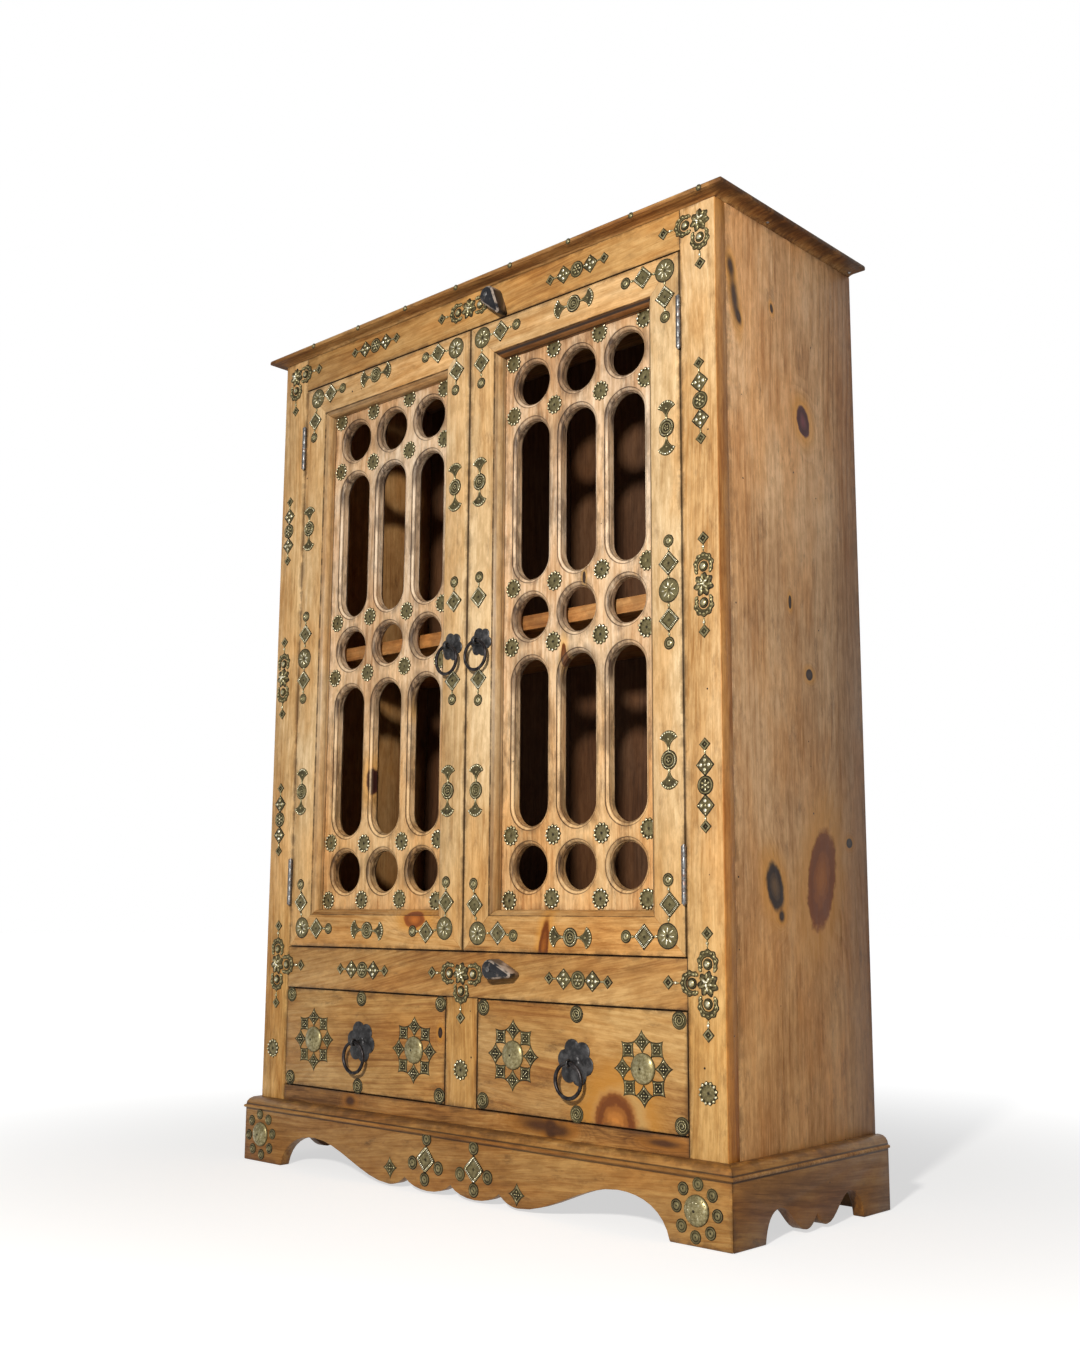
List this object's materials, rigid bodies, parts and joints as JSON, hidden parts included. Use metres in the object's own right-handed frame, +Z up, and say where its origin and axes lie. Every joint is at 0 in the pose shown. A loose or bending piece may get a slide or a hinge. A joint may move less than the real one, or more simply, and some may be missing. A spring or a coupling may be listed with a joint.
{
  "type": "two-door pine cabinet",
  "caption": "Rustic pine cabinet with pierced, mitred doors over drawers on a scalloped plinth, with ring pulls and turn-button latches.",
  "frame": {"origin": "on the floor, under the middle of the cabinet's overall box", "axes": "+Z up, -Y out of the front with the doors and drawers, +X to the viewer's right when facing the front"},
  "size_m": [1.254, 0.4766, 1.74],
  "materials": {
    "pine_frame": "waxed honey pine",
    "pine_side": "waxed brown pine",
    "pine_door": "waxed light pine",
    "pine_panel": "waxed light pine",
    "pine_inside": "raw aged pine",
    "hinge_steel": "worn bright steel",
    "black_iron": "black iron",
    "worn_black": "black painted wood"
  },
  "bodies": {
    "carcase": {"side_panel_left": "pine_side", "side_panel_right": "pine_side", "back_panel": "pine_inside", "top_board": "pine_frame", "cabinet_floor": "pine_inside", "middle_shelf": "pine_frame", "bottom_board": "pine_inside", "drawer_divider": "pine_inside", "drawer_guide_left": "pine_inside", "drawer_guide_right": "pine_inside", "face_stile_left": "pine_frame", "face_stile_right": "pine_frame", "face_rail_top": "pine_frame", "face_rail_middle": "pine_frame", "face_rail_bottom": "pine_frame", "drawer_mullion": "pine_frame", "plinth_front": "pine_frame", "plinth_left": "pine_frame", "plinth_right": "pine_frame", "plinth_back": "pine_inside", "hinge_left_lower_frame_leaf": "hinge_steel", "hinge_left_upper_frame_leaf": "hinge_steel", "hinge_right_lower_frame_leaf": "hinge_steel", "hinge_right_upper_frame_leaf": "hinge_steel", "latch_upper_screw": "hinge_steel", "latch_lower_screw": "hinge_steel"},
    "door_left": {"door_left_hinge_stile": "pine_door", "door_left_meeting_stile": "pine_door", "door_left_top_rail": "pine_door", "door_left_bottom_rail": "pine_door", "door_left_panel": "pine_panel", "door_left_pull_plate": "black_iron", "hinge_left_lower_door_leaf": "hinge_steel", "hinge_left_upper_door_leaf": "hinge_steel"},
    "door_right": {"door_right_hinge_stile": "pine_door", "door_right_meeting_stile": "pine_door", "door_right_top_rail": "pine_door", "door_right_bottom_rail": "pine_door", "door_right_panel": "pine_panel", "door_right_pull_plate": "black_iron", "hinge_right_lower_door_leaf": "hinge_steel", "hinge_right_upper_door_leaf": "hinge_steel"},
    "drawer_left": {"drawer_left_front": "pine_frame", "drawer_left_side_left": "pine_inside", "drawer_left_side_right": "pine_inside", "drawer_left_back": "pine_inside", "drawer_left_bottom": "pine_inside", "drawer_left_pull_plate": "black_iron"},
    "drawer_right": {"drawer_right_front": "pine_frame", "drawer_right_side_left": "pine_inside", "drawer_right_side_right": "pine_inside", "drawer_right_back": "pine_inside", "drawer_right_bottom": "pine_inside", "drawer_right_pull_plate": "black_iron"},
    "door_left_ring": {"door_left_pull_ring": "black_iron"},
    "door_right_ring": {"door_right_pull_ring": "black_iron"},
    "drawer_left_ring": {"drawer_left_pull_ring": "black_iron"},
    "drawer_right_ring": {"drawer_right_pull_ring": "black_iron"},
    "latch_upper": {"latch_upper_button": "worn_black"},
    "latch_lower": {"latch_lower_button": "worn_black"}
  },
  "joints": [
    {"name": "door_left_hinge", "type": "hinge", "parent": "carcase", "child": "door_left", "pos_m": [-0.51815, -0.2125, 0.434], "axis": [0, 0, -1], "range_deg": [0, 165]},
    {"name": "door_right_hinge", "type": "hinge", "parent": "carcase", "child": "door_right", "pos_m": [0.51815, -0.2125, 0.434], "axis": [0, 0, 1], "range_deg": [0, 165]},
    {"name": "drawer_left_slide", "type": "slide", "parent": "carcase", "child": "drawer_left", "axis": [0, -1, 0], "range_m": [0, 0.3]},
    {"name": "drawer_right_slide", "type": "slide", "parent": "carcase", "child": "drawer_right", "axis": [0, -1, 0], "range_m": [0, 0.3]},
    {"name": "door_left_ring_swing", "type": "hinge", "parent": "door_left", "child": "door_left_ring", "pos_m": [-0.0394, -0.2237, 1.01186], "axis": [-1, 0, 0], "range_deg": [-12, 95]},
    {"name": "door_right_ring_swing", "type": "hinge", "parent": "door_right", "child": "door_right_ring", "pos_m": [0.0394, -0.2237, 1.01186], "axis": [-1, 0, 0], "range_deg": [-12, 95]},
    {"name": "drawer_left_ring_swing", "type": "hinge", "parent": "drawer_left", "child": "drawer_left_ring", "pos_m": [-0.2805, -0.2277, 0.25498], "axis": [-1, 0, 0], "range_deg": [-12, 95]},
    {"name": "drawer_right_ring_swing", "type": "hinge", "parent": "drawer_right", "child": "drawer_right_ring", "pos_m": [0.2805, -0.2277, 0.25498], "axis": [-1, 0, 0], "range_deg": [-12, 95]},
    {"name": "latch_upper_turn", "type": "hinge", "parent": "carcase", "child": "latch_upper", "pos_m": [0.068, -0.2077, 1.692], "axis": [0, -1, 0], "range_deg": [-36, 54]},
    {"name": "latch_lower_turn", "type": "hinge", "parent": "carcase", "child": "latch_lower", "pos_m": [0.094, -0.2077, 0.405], "axis": [0, -1, 0], "range_deg": [-20, 100]}
  ]
}
